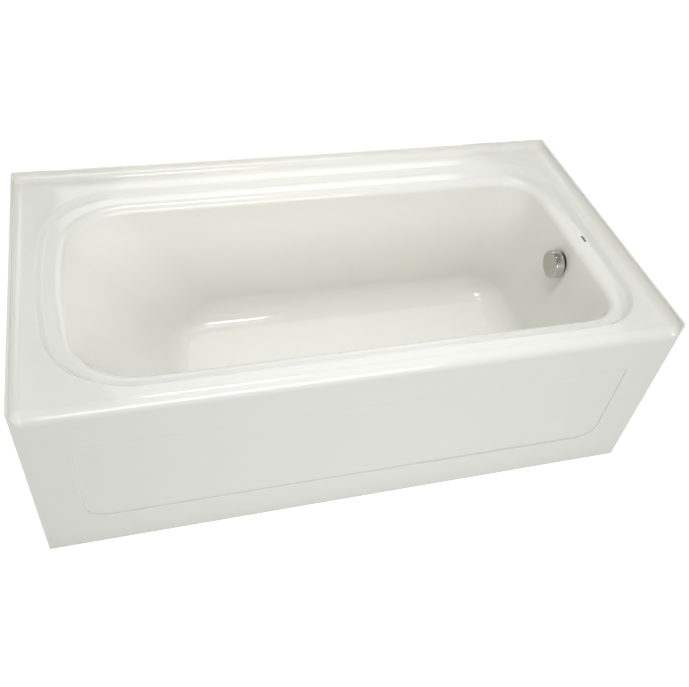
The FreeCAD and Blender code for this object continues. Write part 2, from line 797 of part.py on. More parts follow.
def make_tub_shell(cavity, belly):
    """Deck, apron and flange joined to the moulded basin, which keeps one wall all over."""
    frame = make_deck_frame()
    inner_x = half_length - DIM["flange_wall"]
    frame, corner_head = front_corner("corner_head", frame, -inner_x, 1)
    frame, corner_foot = front_corner("corner_foot", frame, inner_x, -1)
    under = ledge - wall
    rim_outside = ruled_solid("rim_outside", ("ledge", under), ("rim", deck), wall)
    block = join("shell_block", [frame, corner_head, corner_foot, rim_outside, belly])

    def flange_tip(edge):
        box = edge.BoundBox
        return level(edge, (deck + DIM["flange_height"]).value) and near(box.YMax, -half_width.value)

    block = round_edges("flange_tips", block, flange_tip, DIM["flange_corner_radius"])
    block = round_edges("under_roll", block, outline_edge("well", under, wall), DIM["roll_radius"] - wall)

    rim_inside = ruled_solid("rim_inside", ("ledge", ledge), ("rim", deck))
    shell = cut("shell_rim", block, rim_inside)
    shell = cut("shell_well", shell, cavity)
    shell = round_edges("roll", shell, outline_edge("well", ledge), DIM["roll_radius"])
    shell = round_edges("rim_edge", shell, outline_edge("rim", deck), DIM["rim_edge_radius"])
    shell = round_edges("rim_foot", shell, outline_edge("ledge", ledge), DIM["rim_edge_radius"])
    outside, inside = wall_x + gasket_reach, wall_x - gasket_reach
    holes = join("shell_holes", [
        upright("drain_hole", DIM["drain_hole_radius"], drain_x, waste_y, floor - wall * 2, floor + wall),
        lying("overflow_hole", DIM["overflow_hole_radius"], inside, outside, waste_y, overflow_z),
    ])
    keep(cut("shell_cut", shell, holes), "tub_shell")


# ---------------------------------------------------------------- timber

def make_timber():
    """Base board and feet under the floor, battens under the deck, rail and posts behind the apron."""
    head, foot, front, back = outline_at("floor")[:4]
    side = DIM["board_from_side"]
    x1, x2 = head + DIM["board_from_head"], drain_x - DIM["board_from_drain"]
    y1, y2 = front + side, back - side
    top = floor - wall
    bottom = top - DIM["board_thickness"]
    keep(block("board", x1, y1, bottom, x2, y2, top), "base_board")

    wide, inset = DIM["foot_width"], DIM["foot_inset"]
    starts = (x1 + inset, (x1 + x2 - wide) / 2, x2 - inset - wide)
    feet = [block(f"foot_{i}", x, y1, Size(0), x + wide, y2, bottom) for i, x in enumerate(starts)]
    group("base_feet", feet)

    head, foot, front, back = outline_at("rim", wall)[:4]
    gap, end_gap = DIM["batten_gap"], DIM["batten_end_gap"]
    high = deck - wall
    low = high - DIM["batten_thickness"]
    reach = half_length - end_gap
    front_y1 = -half_width + DIM["front_edge_radius"] + DIM["socket_gap"]
    front_y2 = front - gap
    keep(block("batten_b", -reach, back + gap, low, reach, half_width - gap, high), "batten_back")
    keep(block("batten_f", -reach, front_y1, low, reach, front_y2, high), "batten_front")
    across = (front + end_gap / 2, back - end_gap / 2)
    keep(block("batten_h", -half_length + gap, across[0], low, head - gap, across[1], high), "batten_head")
    keep(block("batten_o", foot + gap, across[0], low, half_length - gap, across[1], high), "batten_foot")

    thick = DIM["batten_thickness"]
    inside = -half_width + wall
    rail_reach = half_length - DIM["rail_end_gap"]
    rail_top = DIM["rail_height"]
    keep(block("rail", -rail_reach, inside, Size(0), rail_reach, inside + thick, rail_top), "apron_rail")
    half_post = DIM["post_width"] / 2
    behind = inside + thick
    posts = []
    for i in (-1, 0, 1):
        x = DIM["post_spacing"] * i
        left, right = x - half_post, x + half_post
        posts.append(block(f"post_{i + 1}", left, behind, Size(0), right, behind + thick, low))
    group("apron_posts", posts)


# ---------------------------------------------------------------- overflow

def ring(name, inner, outer, w1, w2):
    """Flat ring on the overflow axis, between two distances in front of the wall."""
    outside = lying(f"{name}_outside", outer, wall_x - w2, wall_x - w1, waste_y, overflow_z)
    inside = lying(f"{name}_inside", inner, wall_x - w2 - PAST, wall_x - w1 + PAST, waste_y, overflow_z)
    return cut(name, outside, inside)


def make_overflow(cavity, belly):
    """Fittings clamped through the foot wall, drawn along an axis that points to the head end.

    Distances along the axis count from the wall's inner face, positive into the tub.
    The wall leans, so both seals are wedges bounded by the wall's own faces.
    """
    clear = DIM["overflow_hole_radius"] + DIM["hole_gap"]
    thick = DIM["seal_radius"] * foot_slope + DIM["seal_least"]
    back = -gasket_reach
    seal = doc.addObject("Part::MultiCommon", "seal_wedge")
    seal.Shapes = [ring("seal_ring", clear, DIM["seal_radius"], -thick, thick), cavity]
    keep(seal, "overflow_seal")
    gasket = ring("gasket_ring", clear, DIM["gasket_radius"], back, thick)
    keep(cut("gasket_cut", gasket, belly), "overflow_gasket")

    # threaded ring that clamps the wall, with a bush for the spindle
    shaft = DIM["spindle_radius"]
    bush = shaft + DIM["running_gap"]
    sleeve = DIM["overflow_hole_radius"] - DIM["sleeve_gap"]
    sleeve_in = sleeve - DIM["retainer_wall"]
    face = thick + DIM["retainer_flange"]
    retainer = new_body("overflow_retainer")
    turned(retainer, "ring", [
        (sleeve_in, -DIM["retainer_length"]), (sleeve, -DIM["retainer_length"]), (sleeve, thick),
        (DIM["seal_radius"], thick), (DIM["seal_radius"], face), (sleeve_in, face),
    ])
    hub = DIM["hub_radius"]
    turned(retainer, "bush", [(bush, Size(0)), (hub, Size(0)), (hub, face), (bush, face)])
    width = DIM["retainer_spoke_width"]
    spokes(retainer, "spider", 3, (bush + hub) / 2, sleeve_in + PAST, width, Size(0), face)
    place(retainer, wall_x, waste_y, overflow_z, TO_HEAD)

    # elbow behind the wall: a round chamber with a socket downwards and a boss for the cable
    chamber = sleeve + DIM["socket_gap"]
    end = back - DIM["elbow_depth"]
    flange_end = back - DIM["elbow_flange"]
    socket_top = overflow_z - DIM["elbow_drop"] + DIM["socket_depth"]
    outlet_end = overflow_z - DIM["elbow_drop"]
    cable_y = waste_y + DIM["cable_offset"]
    mouth, cap = wall_x - back, wall_x - end
    outside = join("elbow_outside", [
        lying("chamber_out", chamber + DIM["elbow_wall"], mouth, cap, waste_y, overflow_z),
        lying("chamber_flange", DIM["gasket_radius"], mouth, wall_x - flange_end, waste_y, overflow_z),
        upright("outlet_out", socket_out, pipe_x, waste_y, outlet_end, overflow_z),
        upright("cable_boss", DIM["boss_radius"], pipe_x, cable_y, cable_top, overflow_z),
    ])
    inside = join("elbow_inside", [
        lying("chamber_in", chamber, mouth - PAST, cap - DIM["elbow_back_wall"], waste_y, overflow_z),
        upright("outlet_in", pipe_bore, pipe_x, waste_y, outlet_end, overflow_z),
        upright("outlet_socket", socket, pipe_x, waste_y, outlet_end - PAST, socket_top),
    ])
    keep(cut("elbow", outside, inside), "overflow_elbow")

    # knob, its spindle and the drum that winds the cable
    rear = DIM["knob_radius"] * foot_slope + DIM["knob_gap"]
    front = rear + DIM["knob_depth"]
    radius = DIM["knob_radius"]
    bore = radius - DIM["knob_wall"]
    skin = front - DIM["knob_wall"]
    boss = face + DIM["knob_boss_gap"]
    spindle_end = skin - DIM["knob_wall"]
    knob = new_body("overflow_knob")
    turned(knob, "cup", [
        (bore, rear), (radius, rear), (radius, front), (Size(0), front),
        (Size(0), spindle_end), (shaft, spindle_end), (shaft, boss), (hub, boss), (hub, skin), (bore, skin),
    ])

    def front_edge(edge):
        box = edge.BoundBox
        return near(box.ZMin, front.value) and near(box.XMax, radius.value)

    fillet(knob, "front_edge", front_edge, DIM["knob_edge_radius"])
    key = sketch_on(knob, "YZ_Plane", "key_hole_outline")
    screw_w = (boss + skin) / 2
    circle(key, DIM["set_screw_radius"], Size(0), screw_w)
    pocket(knob, "key_hole", key, radius + PAST)
    place(knob, wall_x, waste_y, overflow_z, TO_HEAD)

    screw = new_body("knob_set_screw")
    screw_out, screw_end = DIM["set_screw_radius"], hub + DIM["set_screw_stand"]
    turned(screw, "stud", [
        (Size(0), shaft), (screw_out, shaft), (screw_out, screw_end), (Size(0), screw_end),
    ])
    place(screw, wall_x - screw_w, waste_y, overflow_z, Rotation(Vector(1, 0, 0), 180))

    inner_end = end + DIM["elbow_back_wall"] + DIM["spindle_end_gap"]
    drum = DIM["drum_radius"]
    spindle = new_body("knob_spindle")
    turned(spindle, "rod", [
        (Size(0), inner_end), (shaft, inner_end), (shaft, spindle_end), (Size(0), spindle_end),
    ])
    place(spindle, wall_x, waste_y, overflow_z, TO_HEAD)
    winder = new_body("spindle_drum")
    mid = wall_x - pipe_x
    half = DIM["drum_width"] / 2
    low, high, root = mid - half, mid + half, drum - DIM["drum_groove"]
    edge, slope = DIM["drum_rim"], DIM["drum_rim"] + DIM["drum_groove"] / 2
    turned(winder, "wheel", [
        (shaft, low), (drum, low), (drum, low + edge), (root, low + slope),
        (root, high - slope), (drum, high - edge), (drum, high), (shaft, high),
    ])
    place(winder, wall_x, waste_y, overflow_z, TO_HEAD)


# ---------------------------------------------------------------- pipework

def slip_nut(name):
    """Hexagon nut that closes on a pipe; the socket is below it and the pipe leaves above."""
    prism = doc.addObject("Part::Prism", f"{name}_hexagon")
    prism.Polygon = 6
    prism.setExpression("Circumradius", DIM["nut_radius"].text)
    prism.setExpression("Height", DIM["nut_height"].text)
    prism.Placement = Placement(Vector(0, 0, 0), Rotation(Vector(0, 0, 1), 0))
    lip = DIM["nut_height"] - DIM["nut_lip"]
    bores = join(f"{name}_bores", [
        upright(f"{name}_thread", socket_out + DIM["socket_gap"], Size(0), Size(0), -PAST, lip),
        upright(f"{name}_mouth", socket, Size(0), Size(0), lip - PAST, DIM["nut_height"] + PAST),
    ])
    return cut(name, prism, bores)


def make_pipework():
    """Overflow pipe, tee and the two slip joints."""
    bottom, tee_top, branch_end = DIM["tee_bottom"], DIM["tee_top"], pipe_x - DIM["tee_branch"]
    depth = DIM["socket_depth"]
    drop_end = tee_top - depth
    outside = join("tee_outside", [
        upright("tee_run", socket_out, pipe_x, waste_y, bottom, tee_top),
        lying("tee_branch_out", socket_out, branch_end, pipe_x, waste_y, axis_z),
    ])
    inside = join("tee_inside", [
        upright("tee_through", pipe_bore, pipe_x, waste_y, bottom, tee_top),
        lying("tee_side", pipe_bore, branch_end, pipe_x, waste_y, axis_z),
        upright("tee_top_socket", socket, pipe_x, waste_y, drop_end, tee_top + PAST),
        upright("tee_outlet", socket, pipe_x, waste_y, bottom - PAST, bottom + DIM["outlet_depth"]),
        lying("tee_side_socket", socket, branch_end - PAST, branch_end + depth, waste_y, axis_z),
    ])
    keep(cut("tee", outside, inside), "waste_tee")

    top = overflow_z - DIM["elbow_drop"] + depth
    riser = cut("riser", upright("riser_out", pipe, pipe_x, waste_y, drop_end, top),
                upright("riser_in", pipe_bore, pipe_x, waste_y, drop_end - PAST, top + PAST))
    keep(riser, "overflow_pipe")

    over = DIM["nut_height"] - DIM["nut_lip"] - DIM["washer_thickness"]
    nuts = [place(slip_nut("nut_top"), pipe_x, waste_y, tee_top - over),
            place(slip_nut("nut_side"), branch_end + over, waste_y, axis_z, TO_HEAD)]
    group("slip_nuts", nuts)
    thick = DIM["washer_thickness"]
    low, high = branch_end - thick, tee_top + thick
    top_disc = upright("washer_top_out", socket_out, pipe_x, waste_y, tee_top, high)
    top_hole = upright("washer_top_in", pipe, pipe_x, waste_y, tee_top - PAST, high + PAST)
    side_disc = lying("washer_side_out", socket_out, low, branch_end, waste_y, axis_z)
    side_hole = lying("washer_side_in", pipe, low - PAST, branch_end + PAST, waste_y, axis_z)
    washers = [cut("washer_top", top_disc, top_hole), cut("washer_side", side_disc, side_hole)]
    group("slip_washers", washers)


# ---------------------------------------------------------------- drain

def make_drain():
    """Drain body through the floor, shoe below it, stopper above and the rocker that lifts it."""
    under = floor - wall
    thread = DIM["drain_thread_radius"]
    bore = DIM["drain_bore_radius"]
    lip = DIM["drain_lip_radius"]
    lip_top = floor + DIM["drain_lip_height"]
    bottom = floor - DIM["drain_depth"]
    mouth = lip - DIM["drain_lip_width"]
    seat_drop = DIM["seat_drop"]
    drain = new_body("drain_body")
    turned(drain, "flange", [
        (bore, bottom), (thread, bottom), (thread, floor), (lip, floor), (lip, lip_top - seat_drop),
        (lip - seat_drop, lip_top), (mouth, lip_top), (bore + PAST, lip_top - seat_drop), (bore, floor),
    ])
    stem = DIM["stem_radius"]
    guide = stem + DIM["running_gap"]
    cross = bottom + DIM["spider_thickness"]
    guide_out = guide + DIM["guide_wall"]
    turned(drain, "guide", [(guide, bottom), (guide_out, bottom), (guide_out, cross), (guide, cross)])
    spokes(drain, "cross", 4, (guide + guide_out) / 2, bore + PAST, DIM["spoke_width"], bottom, cross)
    place(drain, drain_x, waste_y, Size(0))

    flange_top = under - DIM["drain_gasket"]
    inset = DIM["drain_gasket_inset"]
    disc = upright("drain_gasket_out", lip - inset, drain_x, waste_y, flange_top, under)
    hole = upright("drain_gasket_in", thread + inset, drain_x, waste_y, flange_top - PAST, under + PAST)
    gasket = cut("drain_gasket_cut", disc, hole)
    keep(gasket, "drain_gasket")

    # shoe: threaded cup, a pipe towards the tee and a boss for the cable
    cup = thread + DIM["thread_gap"]
    low = DIM["shoe_bottom"]
    cable_y = waste_y + DIM["cable_offset"]
    pipe_end = pipe_x - DIM["tee_branch"] + DIM["socket_depth"]
    pin_x = drain_x + DIM["rocker_reach"]
    pin_z = DIM["rocker_axis_height"]
    shoe_out = cup + DIM["shoe_wall"]
    outside = join("shoe_outside", [
        upright("shoe_cup", shoe_out, drain_x, waste_y, low, flange_top),
        upright("shoe_flange", lip, drain_x, waste_y, flange_top - DIM["shoe_flange"], flange_top),
        lying("shoe_pipe", pipe, drain_x, pipe_end, waste_y, axis_z),
        lying("shoe_boss", DIM["boss_radius"], drain_x, cable_end, cable_y, DIM["cable_height"]),
    ])
    inside = join("shoe_inside", [
        upright("shoe_thread", cup, drain_x, waste_y, bottom, flange_top + PAST),
        upright("shoe_chamber", bore, drain_x, waste_y, low + DIM["shoe_floor"], flange_top),
        lying("shoe_bore", pipe_bore, drain_x, pipe_end + PAST, waste_y, axis_z),
        crosswise("pin_hole", DIM["pin_radius"], pin_x, waste_y - shoe_out, waste_y + shoe_out, pin_z),
    ])
    keep(cut("shoe", outside, inside), "drain_shoe")

    # stopper
    gap = DIM["stopper_gap"]
    cap = DIM["stopper_radius"]
    rim = lip_top + gap
    top = rim + DIM["stopper_thickness"]
    lid = new_body("stopper_cap")
    bevel, rod_top = DIM["stopper_chamfer"], top - DIM["stopper_skin"]
    turned(lid, "dome", [
        (stem, rim), (cap - bevel * 2, rim), (cap, rim + bevel), (cap - bevel, rim + bevel * 2),
        (DIM["crown_radius"], top - DIM["crown_rise"]), (stem * 2, top), (Size(0), top), (Size(0), rod_top),
        (stem, rod_top),
    ])
    place(lid, drain_x, waste_y, Size(0))
    seal = new_body("stopper_seal")
    plug = bore - DIM["plug_gap"]
    edge = mouth - seat_drop
    turned(seal, "lip", [
        (stem, floor + gap), (plug, floor + gap), (plug, lip_top - seat_drop + gap),
        (edge, lip_top - gap), (edge, rim), (stem, rim),
    ])
    place(seal, drain_x, waste_y, Size(0))
    rod = new_body("stopper_stem")
    tip_z = DIM["stem_foot"]
    turned(rod, "rod", [
        (Size(0), tip_z), (stem / 2, tip_z), (stem, tip_z + stem / 2), (stem, rod_top), (Size(0), rod_top),
    ])
    place(rod, drain_x, waste_y, Size(0))

    # rocker: an arm under the stem and a short horn that the cable pushes
    tip = DIM["rocker_tip_radius"]
    rocker = new_body("lift_rocker")
    arm = sketch_on(rocker, "XZ_Plane", "arm_outline")
    reach = DIM["rocker_reach"]
    hub = DIM["pin_radius"] + DIM["rocker_hub_wall"]
    neck, horn = DIM["rocker_neck"], DIM["rocker_horn"]
    hub_width = DIM["rocker_hub_width"]
    polygon(arm, [(-reach, -neck), (Size(0), -hub), (hub, Size(0)), (hub / 2, horn),
                  (-hub / 4, horn), (-hub, tip), (-reach, neck)])
    pad(rocker, "arm", arm, DIM["rocker_width"], symmetric=True)
    nose = sketch_on(rocker, "XZ_Plane", "nose_outline")
    circle(nose, tip, -reach, Size(0))
    pad(rocker, "nose", nose, DIM["rocker_width"], symmetric=True)
    pivot = sketch_on(rocker, "XZ_Plane", "pivot_outline")
    circle(pivot, hub)
    pad(rocker, "hub", pivot, hub_width, symmetric=True)
    eye = sketch_on(rocker, "XZ_Plane", "eye_outline")
    circle(eye, DIM["pin_radius"] + DIM["running_gap"])
    pocket(rocker, "eye", eye, hub_width + PAST, symmetric=True)
    place(rocker, pin_x, waste_y, pin_z, Rotation(Vector(0, 1, 0), -DIM["rocker_rest_angle"].value))
    half_chord = pipe - DIM["pin_inset"]
    keep(crosswise("pivot_pin", DIM["pin_radius"], pin_x, waste_y - half_chord, waste_y + half_chord, pin_z),
         "rocker_pin")


# ---------------------------------------------------------------- drive cable

cable_top = overflow_z - DIM["elbow_drop"] / 2
cable_end = drain_x + DIM["shoe_boss_reach"]


def make_cable():
    """Sheathed cable from the elbow's boss down beside the overflow pipe and along to the shoe."""
    y = waste_y + DIM["cable_offset"]
    height, bend, long = DIM["cable_height"], DIM["cable_bend"], DIM["ferrule_length"]
    start, finish = cable_top - long, cable_end + long
    sheath = new_body("cable_sheath")
    path = sketch_on(sheath, "XZ_Plane", "route")
    turn_x, turn_z = (pipe_x - bend).value, (height + bend).value
    path.addGeometry([
        Part.LineSegment(Vector(pipe_x.value, start.value, 0), Vector(pipe_x.value, turn_z, 0)),
        arc(turn_x, turn_z, bend.value, 1.5 * math.pi, 2 * math.pi),
        Part.LineSegment(Vector(turn_x, height.value, 0), Vector(finish.value, height.value, 0)),
    ], False)
    path.addConstraint(Sketcher.Constraint("Tangent", 0, 2, 1, 2))
    path.addConstraint(Sketcher.Constraint("Tangent", 1, 1, 2, 1))
    path.addConstraint(Sketcher.Constraint("Vertical", 0))
    path.addConstraint(Sketcher.Constraint("Horizontal", 2))
    dimension(path, "bend", bend, "Radius", 1)
    place_point(path, "start", 0, 1, pipe_x, start)
    place_point(path, "finish", 2, 2, finish, height)
    ring_sketch = sketch_on(sheath, "XY_Plane", "section", start)
    circle(ring_sketch, DIM["cable_radius"], pipe_x, Size(0))
    tube = sheath.newObject("PartDesign::AdditivePipe", "tube")
    tube.Profile = ring_sketch
    tube.Spine = (path, [])
    place(sheath, Size(0), y, Size(0))

    group("cable_ferrules", [
        upright("ferrule_top", DIM["ferrule_radius"], pipe_x, y, start, cable_top),
        lying("ferrule_low", DIM["ferrule_radius"], cable_end, finish, y, height),
    ])


# The hollow of the basin, and the same shape grown by the wall.
cavity = well_solid("cavity", floor)
belly = well_solid("belly", floor - wall, wall)
make_tub_shell(cavity, belly)
make_timber()
make_overflow(cavity, belly)
make_pipework()
make_drain()
make_cable()
doc.recompute()

failed = [o.Name for o in doc.Objects if "Invalid" in o.State or "Error" in o.State]
if failed:
    raise RuntimeError(f"failed features: {failed}")
for piece in PIECES:
    shape = piece.Shape
    if shape.isNull() or not shape.isValid() or not shape.Solids:
        raise RuntimeError(f"bad solid: {piece.Label}")
    if shape.Volume <= 0:
        raise RuntimeError(f"no volume: {piece.Label}")

os.makedirs("parts", exist_ok=True)
for piece in PIECES:
    piece.Shape.exportStep(f"parts/{piece.Label}.step")
    print(f"{piece.Label}: {len(piece.Shape.Solids)} solid(s), {piece.Shape.Volume:.0f} mm3")
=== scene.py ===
import math

import bmesh
import bpy
from mathutils import Matrix, Vector


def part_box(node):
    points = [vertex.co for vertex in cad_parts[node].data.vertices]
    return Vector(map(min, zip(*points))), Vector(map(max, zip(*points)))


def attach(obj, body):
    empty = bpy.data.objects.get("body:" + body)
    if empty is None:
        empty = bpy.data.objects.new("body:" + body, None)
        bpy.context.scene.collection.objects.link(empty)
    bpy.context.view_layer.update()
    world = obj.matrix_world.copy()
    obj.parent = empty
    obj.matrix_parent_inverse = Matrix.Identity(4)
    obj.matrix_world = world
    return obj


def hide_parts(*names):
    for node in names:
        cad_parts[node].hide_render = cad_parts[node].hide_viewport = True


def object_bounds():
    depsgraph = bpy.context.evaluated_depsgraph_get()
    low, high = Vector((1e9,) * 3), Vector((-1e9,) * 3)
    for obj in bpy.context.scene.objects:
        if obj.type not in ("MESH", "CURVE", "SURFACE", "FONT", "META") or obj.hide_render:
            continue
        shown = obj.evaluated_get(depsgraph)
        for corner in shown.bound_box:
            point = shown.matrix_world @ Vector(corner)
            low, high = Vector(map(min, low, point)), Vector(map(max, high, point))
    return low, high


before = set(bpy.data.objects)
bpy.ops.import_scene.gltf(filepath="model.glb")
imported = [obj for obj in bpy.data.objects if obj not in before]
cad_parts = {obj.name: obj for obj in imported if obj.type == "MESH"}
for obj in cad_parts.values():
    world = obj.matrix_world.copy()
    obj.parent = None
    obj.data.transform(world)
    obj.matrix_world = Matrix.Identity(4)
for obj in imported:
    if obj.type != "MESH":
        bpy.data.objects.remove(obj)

# An alcove bathtub in bone-white acrylic, dressed for a pale studio. The show side is glossy acrylic,
# the hidden side is its glass-fibre backing with the timber that stiffens it, and the waste fittings
# are black ABS, acetal, brass, rubber, steel and chrome plate.

MM = 0.001
CAD_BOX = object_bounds()

# Real sizes that the looks need, in metres.
WALL = 5 * MM               # the moulded skin
DECK_TOP = 489 * MM
LEDGE_TOP = 474 * MM        # the ledge over the overflow knob
SAWN_EDGE = 1.2 * MM        # taken off each arris of the timber
BACKING = 1.4 * MM          # the glass-fibre coat on the hidden side
LOOSE = 0.02 * MM           # corners closer than this are one corner

# Most of what a noise pattern gives lies in this range.
NOISE_SPAN = {"From Min": 0.3, "From Max": 0.7}


# ------------------------------------------------------------ helpers

def colour(hex_value):
    """Linear RGBA of an sRGB hex colour."""
    channels = [int(hex_value[i:i + 2], 16) / 255 for i in (1, 3, 5)]
    return [c / 12.92 if c <= 0.04045 else ((c + 0.055) / 1.055) ** 2.4 for c in channels] + [1.0]


def add(tree, kind, settings=None, **links):
    """Add a node with its settings and links.

    A setting is a property, an input by name or number, or a ramp's stops as (position, hex).
    A link is input=(node, output); i0, i1 and so on name an input by number.
    """
    node = tree.nodes.new(kind)
    for name, value in (settings or {}).items():
        if name == "stops":
            elements = node.color_ramp.elements
            while len(elements) < len(value):
                elements.new(1.0)
            for element, (position, tone) in zip(elements, value):
                element.position = position
                element.color = colour(tone)
        elif isinstance(name, str) and hasattr(node, name):
            setattr(node, name, value)
        else:
            node.inputs[name].default_value = value
    for name, (source, output) in links.items():
        numbered = name[0] == "i" and name[1:].isdigit()
        key = int(name[1:]) if numbered else name
        tree.links.new(source.outputs[output], node.inputs[key])
    return node


def new_material(name):
    """A material with its shader, output and Object coordinates, ready for a finish."""
    material = bpy.data.materials.new(name)
    material.use_nodes = True
    tree = material.node_tree
    tree.nodes.clear()
    shader = add(tree, "ShaderNodeBsdfPrincipled")
    add(tree, "ShaderNodeOutputMaterial", Surface=(shader, "BSDF"))
    place = add(tree, "ShaderNodeTexCoord")
    return material, tree, shader, place


# ------------------------------------------------------------ materials

def acrylic():
    """Cast acrylic sheet, vacuum formed: a deep gloss with a faint waviness left by the mould."""
    material, tree, shader, place = new_material("bone acrylic, vacuum formed")
    wave_length, wave_depth, smudge_size = 90 * MM, 0.25 * MM, 160 * MM
    waves = add(tree, "ShaderNodeTexNoise",
                {"Scale": 1 / wave_length, "Detail": 1.0, "Roughness": 0.4},
                Vector=(place, "Object"))
    bump = add(tree, "ShaderNodeBump", {"Strength": 0.35, "Distance": wave_depth},
               Height=(waves, "Fac"))
    smudge = add(tree, "ShaderNodeTexNoise", {"Scale": 1 / smudge_size, "Detail": 2.0},
                 Vector=(place, "Object"))
    gloss = add(tree, "ShaderNodeMapRange", {**NOISE_SPAN, "To Min": 0.06, "To Max": 0.10},
                Value=(smudge, "Fac"))
    shader.inputs["Base Color"].default_value = colour("#EDEDE7")
    shader.inputs["IOR"].default_value = 1.49
    tree.links.new(gloss.outputs["Result"], shader.inputs["Roughness"])
    tree.links.new(bump.outputs["Normal"], shader.inputs["Normal"])
    return material


def plated(name, hex_value, smooth, hazy, haze_size):
    """Chrome plate over a zinc casting: a mirror, a little wavy and hazed where it was buffed."""
    material, tree, shader, place = new_material(name)
    dip = haze_size / 40
    haze = add(tree, "ShaderNodeTexNoise", {"Scale": 1 / haze_size, "Detail": 3.0},
               Vector=(place, "Object"))
    gloss = add(tree, "ShaderNodeMapRange", {**NOISE_SPAN, "To Min": smooth, "To Max": hazy},
                Value=(haze, "Fac"))
    bump = add(tree, "ShaderNodeBump", {"Strength": 0.4, "Distance": dip}, Height=(haze, "Fac"))
    shader.inputs["Base Color"].default_value = colour(hex_value)
    shader.inputs["Metallic"].default_value = 1.0
    tree.links.new(gloss.outputs["Result"], shader.inputs["Roughness"])
    tree.links.new(bump.outputs["Normal"], shader.inputs["Normal"])
    return material


def glass_fibre():
    """Chopped glass strand rolled down in polyester resin: tangled strands under a wet-looking skin.

    The strands lie in lays, each turned to its own side. They are drawn wider than real ones, so
    that they show.
    """
    material, tree, shader, place = new_material("chopped glass strand in resin")
    strand_width, strand_length, strand_depth, lays = 1.8 * MM, 36 * MM, 0.5 * MM, 9
    golden_angle = 2.4
    last = None
    for k in range(lays):
        turn = (0, math.asin((k + 0.5) / lays), golden_angle * k)
        size = (strand_length, strand_width, strand_width)
        lay = add(tree, "ShaderNodeMapping",
                  {"vector_type": "TEXTURE", "Rotation": turn, "Scale": size},
                  Vector=(place, "Object"))
        strands = add(tree, "ShaderNodeTexNoise", {"Scale": 1.0, "Detail": 1.0},
                      Vector=(lay, "Vector"))
        if last is None:
            last = (strands, "Fac")
        else:
            both = add(tree, "ShaderNodeMath", {"operation": "MAXIMUM"},
                       i0=last, i1=(strands, "Fac"))
            last = (both, "Value")
    tone = add(tree, "ShaderNodeValToRGB", {"stops": [(0.60, "#CFCBB8"), (0.80, "#E8E5D9")]},
               Fac=last)
    bump = add(tree, "ShaderNodeBump", {"Strength": 0.8, "Distance": strand_depth}, Height=last)
    tree.links.new(tone.outputs["Color"], shader.inputs["Base Color"])
    tree.links.new(bump.outputs["Normal"], shader.inputs["Normal"])
    shader.inputs["IOR"].default_value = 1.55
    shader.inputs["Roughness"].default_value = 0.32
    return material


def pine(name, turn, pith):
    """Sawn softwood: curved rings about a pith line, darker late wood and a furry sawn surface.

    The grain runs along X before the turn; pith is the point, in metres, that the rings centre on.
    The fibres are drawn coarser than real ones, so that they show.
    """
    material, tree, shader, place = new_material(name)
    ring_spacing, fibre, fur_depth, wander_reach = 5 * MM, 0.8 * MM, 0.4 * MM, 20 * MM
    laid = add(tree, "ShaderNodeMapping",
               {"vector_type": "TEXTURE", "Location": pith, "Rotation": turn},
               Vector=(place, "Object"))
    drift = add(tree, "ShaderNodeMapping", {"Scale": (1.5, 9, 9)}, Vector=(laid, "Vector"))
    wander = add(tree, "ShaderNodeTexNoise", {"Scale": 1.0, "Detail": 2.0},
                 Vector=(drift, "Vector"))
    shift = add(tree, "ShaderNodeVectorMath", {"operation": "SCALE", "Scale": wander_reach},
                Vector=(wander, "Color"))
    bent = add(tree, "ShaderNodeVectorMath", {"operation": "ADD"},
               i0=(laid, "Vector"), i1=(shift, "Vector"))
    # At scale 1 the rings repeat every 2 pi / 20 of a metre.
    ring_scale = 2 * math.pi / (20 * ring_spacing)
    ring_look = {"wave_type": "RINGS", "rings_direction": "X", "wave_profile": "SAW",
                 "Scale": ring_scale, "Distortion": 0.6, "Detail": 2.0}
    rings = add(tree, "ShaderNodeTexWave", ring_look, Vector=(bent, "Vector"))
    fibres = add(tree, "ShaderNodeMapping", {"Scale": (6, 1 / fibre, 1 / fibre)},
                 Vector=(laid, "Vector"))
    fur = add(tree, "ShaderNodeTexNoise", {"Scale": 1.0, "Detail": 3.0}, Vector=(fibres, "Vector"))
    tone = add(tree, "ShaderNodeValToRGB",
               {"stops": [(0.0, "#E6CFA4"), (0.7, "#DAB989"), (0.95, "#C0945F")]},
               Fac=(rings, "Fac"))
    flecks = add(tree, "ShaderNodeMix",
                 {"data_type": "RGBA", "blend_type": "MULTIPLY", "Factor": 0.22},
                 i6=(tone, "Color"), i7=(fur, "Fac"))
    bump = add(tree, "ShaderNodeBump", {"Strength": 0.5, "Distance": fur_depth},
               Height=(fur, "Fac"))
    tree.links.new(flecks.outputs[2], shader.inputs["Base Color"])
    tree.links.new(bump.outputs["Normal"], shader.inputs["Normal"])
    shader.inputs["IOR"].default_value = 1.5
    shader.inputs["Roughness"].default_value = 0.72
    return material


def particle_board():
    """Pressed wood chips: small flat flakes of mixed tone with a sanded face."""
    material, tree, shader, place = new_material("pressed particle board")
    chip, chip_depth = 6 * MM, 0.3 * MM
    flakes = add(tree, "ShaderNodeTexVoronoi", {"Scale": 1 / chip, "Randomness": 1.0},
                 Vector=(place, "Object"))
    tone = add(tree, "ShaderNodeValToRGB",
               {"stops": [(0.1, "#A98654"), (0.5, "#C5A373"), (0.9, "#D8BE93")]},
               Fac=(flakes, "Color"))
    bump = add(tree, "ShaderNodeBump", {"Strength": 0.4, "Distance": chip_depth},
               Height=(flakes, "Distance"))
    tree.links.new(tone.outputs["Color"], shader.inputs["Base Color"])
    tree.links.new(bump.outputs["Normal"], shader.inputs["Normal"])
    shader.inputs["Roughness"].default_value = 0.75
    return material


